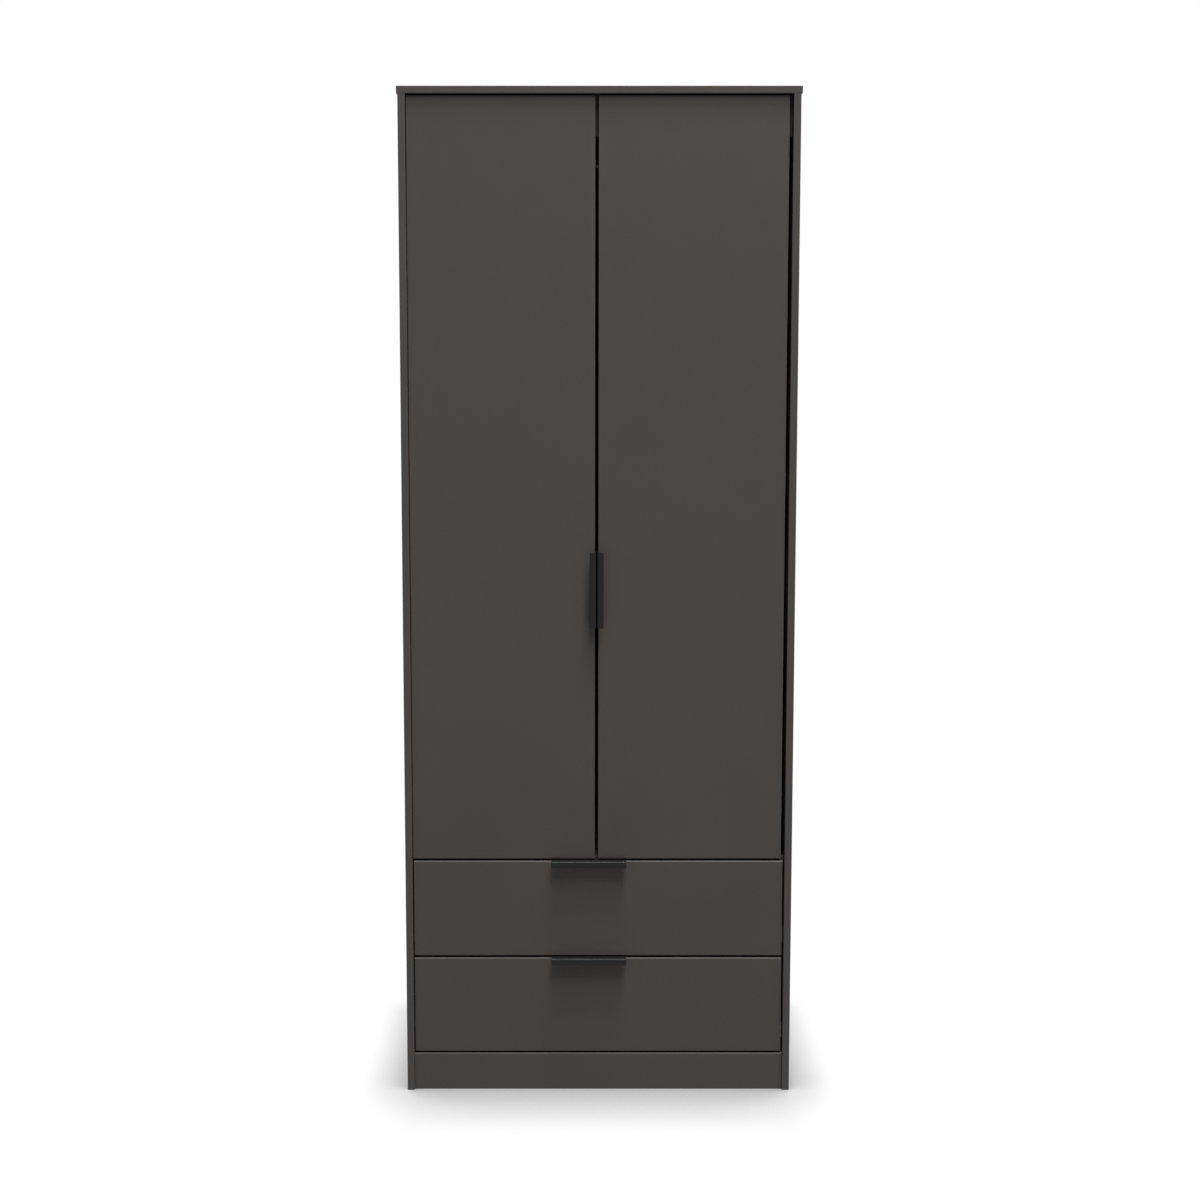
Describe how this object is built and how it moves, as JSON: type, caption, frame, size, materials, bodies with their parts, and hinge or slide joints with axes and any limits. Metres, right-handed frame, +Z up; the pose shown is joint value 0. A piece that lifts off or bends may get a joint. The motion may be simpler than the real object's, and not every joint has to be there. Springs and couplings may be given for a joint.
{
  "type": "wardrobe with doors",
  "caption": "Tall free-standing wardrobe: hinged doors over a hanging rail, drawers on roller runners below, slim black edge-pull handles, plain matt graphite board.",
  "frame": {"origin": "floor level, under the middle of the whole object's bounding box, handles included", "axes": "+Z up, +X to the viewer's right when facing the doors, +Y to the rear; the doors and drawers face -Y"},
  "size_m": [0.77, 0.543, 1.968],
  "materials": {
    "graphite_board": "matt graphite laminate on chipboard",
    "back_board": "painted hardboard",
    "drawer_board": "grey foil-wrapped chipboard",
    "black_metal": "black powder coat",
    "rail_steel": "bright plated steel tube",
    "hinge_steel": "dark nickel-plated pressed steel",
    "runner_enamel": "epoxy-coated steel",
    "roller_nylon": "moulded nylon"
  },
  "bodies": {
    "carcass": {"base_panel": "graphite_board", "divider_shelf": "graphite_board", "front_top_rail": "graphite_board", "hanging_rail": "rail_steel", "left_bottom_hinge_arm": "hinge_steel", "left_middle_hinge_arm": "hinge_steel", "left_rail_socket": "hinge_steel", "left_side_panel": "graphite_board", "left_top_hinge_arm": "hinge_steel", "lower_back_panel": "back_board", "lower_left_cabinet_runner": "runner_enamel", "lower_right_cabinet_runner": "runner_enamel", "plinth": "graphite_board", "rear_top_rail": "graphite_board", "right_bottom_hinge_arm": "hinge_steel", "right_middle_hinge_arm": "hinge_steel", "right_rail_socket": "hinge_steel", "right_side_panel": "graphite_board", "right_top_hinge_arm": "hinge_steel", "top_panel": "graphite_board", "upper_back_panel": "back_board", "upper_left_cabinet_runner": "runner_enamel", "upper_right_cabinet_runner": "runner_enamel"},
    "left_door": {"left_bottom_hinge_cup": "hinge_steel", "left_door": "graphite_board", "left_door_handle": "black_metal", "left_middle_hinge_cup": "hinge_steel", "left_top_hinge_cup": "hinge_steel"},
    "right_door": {"right_bottom_hinge_cup": "hinge_steel", "right_door": "graphite_board", "right_door_handle": "black_metal", "right_middle_hinge_cup": "hinge_steel", "right_top_hinge_cup": "hinge_steel"},
    "upper_drawer": {"upper_drawer_back": "drawer_board", "upper_drawer_base": "drawer_board", "upper_drawer_front": "graphite_board", "upper_drawer_handle": "black_metal", "upper_drawer_left_runner": "runner_enamel", "upper_drawer_left_side": "drawer_board", "upper_drawer_right_runner": "runner_enamel", "upper_drawer_right_side": "drawer_board"},
    "lower_drawer": {"lower_drawer_back": "drawer_board", "lower_drawer_base": "drawer_board", "lower_drawer_front": "graphite_board", "lower_drawer_handle": "black_metal", "lower_drawer_left_runner": "runner_enamel", "lower_drawer_left_side": "drawer_board", "lower_drawer_right_runner": "runner_enamel", "lower_drawer_right_side": "drawer_board"},
    "lower_drawer_left_roller_wheel": {"lower_drawer_left_roller": "roller_nylon"},
    "lower_drawer_right_roller_wheel": {"lower_drawer_right_roller": "roller_nylon"},
    "lower_left_cabinet_roller_wheel": {"lower_left_cabinet_roller": "roller_nylon"},
    "lower_right_cabinet_roller_wheel": {"lower_right_cabinet_roller": "roller_nylon"},
    "upper_drawer_left_roller_wheel": {"upper_drawer_left_roller": "roller_nylon"},
    "upper_drawer_right_roller_wheel": {"upper_drawer_right_roller": "roller_nylon"},
    "upper_left_cabinet_roller_wheel": {"upper_left_cabinet_roller": "roller_nylon"},
    "upper_right_cabinet_roller_wheel": {"upper_right_cabinet_roller": "roller_nylon"}
  },
  "joints": [
    {"name": "left_door_hinge", "type": "hinge", "parent": "carcass", "child": "left_door", "pos_m": [-0.3605, -0.25, 1.212], "axis": [0, 0, -1], "range_deg": [0, 100]},
    {"name": "right_door_hinge", "type": "hinge", "parent": "carcass", "child": "right_door", "pos_m": [0.3545, -0.25, 1.212], "axis": [0, 0, 1], "range_deg": [0, 100]},
    {"name": "upper_drawer_slide", "type": "slide", "parent": "carcass", "child": "upper_drawer", "axis": [0, -1, 0], "range_m": [0, 0.34]},
    {"name": "lower_drawer_slide", "type": "slide", "parent": "carcass", "child": "lower_drawer", "axis": [0, -1, 0], "range_m": [0, 0.34]},
    {"name": "lower_drawer_left_roller_spin", "type": "hinge", "parent": "lower_drawer", "child": "lower_drawer_left_roller_wheel", "pos_m": [-0.3623, 0.2008, 0.111], "axis": [1, 0, 0], "range_deg": [0, 2060]},
    {"name": "lower_drawer_right_roller_spin", "type": "hinge", "parent": "lower_drawer", "child": "lower_drawer_right_roller_wheel", "pos_m": [0.3623, 0.2008, 0.111], "axis": [1, 0, 0], "range_deg": [0, 2060]},
    {"name": "lower_left_cabinet_roller_spin", "type": "hinge", "parent": "carcass", "child": "lower_left_cabinet_roller_wheel", "pos_m": [-0.3623, -0.222, 0.1111], "axis": [1, 0, 0], "range_deg": [0, 2060]},
    {"name": "lower_right_cabinet_roller_spin", "type": "hinge", "parent": "carcass", "child": "lower_right_cabinet_roller_wheel", "pos_m": [0.3623, -0.222, 0.1111], "axis": [1, 0, 0], "range_deg": [0, 2060]},
    {"name": "upper_drawer_left_roller_spin", "type": "hinge", "parent": "upper_drawer", "child": "upper_drawer_left_roller_wheel", "pos_m": [-0.3623, 0.2008, 0.3082], "axis": [1, 0, 0], "range_deg": [0, 2060]},
    {"name": "upper_drawer_right_roller_spin", "type": "hinge", "parent": "upper_drawer", "child": "upper_drawer_right_roller_wheel", "pos_m": [0.3623, 0.2008, 0.3082], "axis": [1, 0, 0], "range_deg": [0, 2060]},
    {"name": "upper_left_cabinet_roller_spin", "type": "hinge", "parent": "carcass", "child": "upper_left_cabinet_roller_wheel", "pos_m": [-0.3623, -0.222, 0.3083], "axis": [1, 0, 0], "range_deg": [0, 2060]},
    {"name": "upper_right_cabinet_roller_spin", "type": "hinge", "parent": "carcass", "child": "upper_right_cabinet_roller_wheel", "pos_m": [0.3623, -0.222, 0.3083], "axis": [1, 0, 0], "range_deg": [0, 2060]}
  ],
  "couplings": [
    {"joint": "lower_drawer_left_roller_spin", "follows": "lower_drawer_slide", "rad_per_m": 105.26},
    {"joint": "lower_drawer_right_roller_spin", "follows": "lower_drawer_slide", "rad_per_m": 105.26},
    {"joint": "lower_left_cabinet_roller_spin", "follows": "lower_drawer_slide", "rad_per_m": 105.26},
    {"joint": "lower_right_cabinet_roller_spin", "follows": "lower_drawer_slide", "rad_per_m": 105.26},
    {"joint": "upper_drawer_left_roller_spin", "follows": "upper_drawer_slide", "rad_per_m": 105.26},
    {"joint": "upper_drawer_right_roller_spin", "follows": "upper_drawer_slide", "rad_per_m": 105.26},
    {"joint": "upper_left_cabinet_roller_spin", "follows": "upper_drawer_slide", "rad_per_m": 105.26},
    {"joint": "upper_right_cabinet_roller_spin", "follows": "upper_drawer_slide", "rad_per_m": 105.26}
  ]
}
